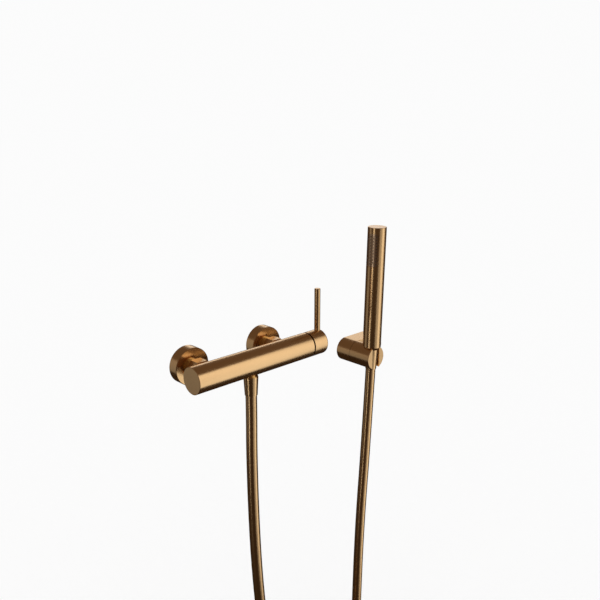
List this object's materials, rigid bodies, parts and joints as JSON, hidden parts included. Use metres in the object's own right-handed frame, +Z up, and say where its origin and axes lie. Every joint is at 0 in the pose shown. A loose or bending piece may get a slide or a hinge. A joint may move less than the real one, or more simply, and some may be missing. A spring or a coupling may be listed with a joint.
{
  "type": "wall mounted bath mixer with hand shower",
  "caption": "Exposed tubular wall bath mixer with a side lever handle, a shower hose, and a stick hand shower resting in a swivelling wall holder.",
  "frame": {"origin": "on the finished wall, midway between the two inlets, at the height of the inlet axes", "axes": "+X along the wall from the hot inlet to the cold inlet, +Y into the wall, +Z up; the room is on the -Y side"},
  "size_m": [0.4692, 0.1076, 0.9201],
  "materials": {
    "brushed_copper": "brushed copper-bronze, metal vapour coated brass",
    "hose_skin": "satin copper-bronze metallised hose skin",
    "spray_metal": "satin",
    "nozzle_silicone": "matte silicone",
    "bare_brass": "machined",
    "seal_rubber": "matte",
    "stainless_steel": "machined",
    "engineering_plastic": "moulded",
    "disc_ceramic": "polished ceramic"
  },
  "bodies": {
    "root": {"inlet_union_hot": "bare_brass", "inlet_union_cold": "bare_brass", "rosette_hot": "brushed_copper", "rosette_cold": "brushed_copper", "union_nut_hot": "brushed_copper", "union_nut_cold": "brushed_copper", "inlet_seal_hot": "seal_rubber", "inlet_seal_cold": "seal_rubber", "inlet_filter_hot": "stainless_steel", "inlet_filter_cold": "stainless_steel", "check_valve_hot": "engineering_plastic", "check_valve_cold": "engineering_plastic", "mixer_body": "brushed_copper", "body_end_cap": "brushed_copper", "end_cap_seal": "seal_rubber", "outlet_nipple": "bare_brass", "port_seals": "seal_rubber", "cartridge_base": "engineering_plastic", "fixed_disc": "disc_ceramic", "cartridge_housing": "engineering_plastic", "ring_nut": "bare_brass", "dome_cover": "brushed_copper", "mixer_hose_washer": "seal_rubber", "mixer_hose_nut": "brushed_copper", "mixer_hose_tail": "bare_brass", "shower_hose": "hose_skin", "holder_base": "brushed_copper", "wall_plate": "stainless_steel", "holder_grub_screw": "stainless_steel"},
    "temperature_rotor": {"cartridge_rotor": "engineering_plastic"},
    "handle": {"cap_stem": "stainless_steel", "pivot_pin": "stainless_steel", "handle_cap": "brushed_copper", "lever_pin": "brushed_copper", "handle_grub_screw": "stainless_steel"},
    "sliding_disc": {"moving_disc": "disc_ceramic", "disc_carrier": "engineering_plastic"},
    "holder_swivel": {"pivot_bolt": "stainless_steel", "spring_washer": "stainless_steel", "friction_ring": "engineering_plastic", "holder_barrel": "brushed_copper", "seat_liner": "engineering_plastic"},
    "hand_shower": {"shower_tube": "brushed_copper", "shower_top_cap": "brushed_copper", "spray_plate": "spray_metal", "spray_nozzles": "nozzle_silicone", "spray_chamber": "engineering_plastic", "shower_waterway": "engineering_plastic", "shower_inlet": "brushed_copper", "flow_limiter": "engineering_plastic", "shower_hose_washer": "seal_rubber", "shower_hose_nut": "brushed_copper"}
  },
  "joints": [
    {"name": "temperature_turn", "type": "hinge", "parent": "root", "child": "temperature_rotor", "pos_m": [0.1024, -0.0655, 0], "axis": [1, 0, 0], "range_deg": [-45, 45]},
    {"name": "flow_tilt", "type": "hinge", "parent": "temperature_rotor", "child": "handle", "pos_m": [0.1024, -0.0655, 0], "axis": [0, -1, 0], "range_deg": [0, 20]},
    {"name": "disc_slide", "type": "slide", "parent": "temperature_rotor", "child": "sliding_disc", "axis": [0, 0, 1], "range_m": [-0.0022, 0]},
    {"name": "holder_turn", "type": "hinge", "parent": "root", "child": "holder_swivel", "pos_m": [0.287, 0, -0.062], "axis": [0, -1, 0], "range_deg": [-35, 35]},
    {"name": "hand_shower_lift", "type": "slide", "parent": "holder_swivel", "child": "hand_shower", "axis": [0, -0.0218, 0.9998], "range_m": [0, 0.02]}
  ],
  "couplings": [
    {"joint": "disc_slide", "follows": "flow_tilt", "m_per_rad": -0.006}
  ]
}
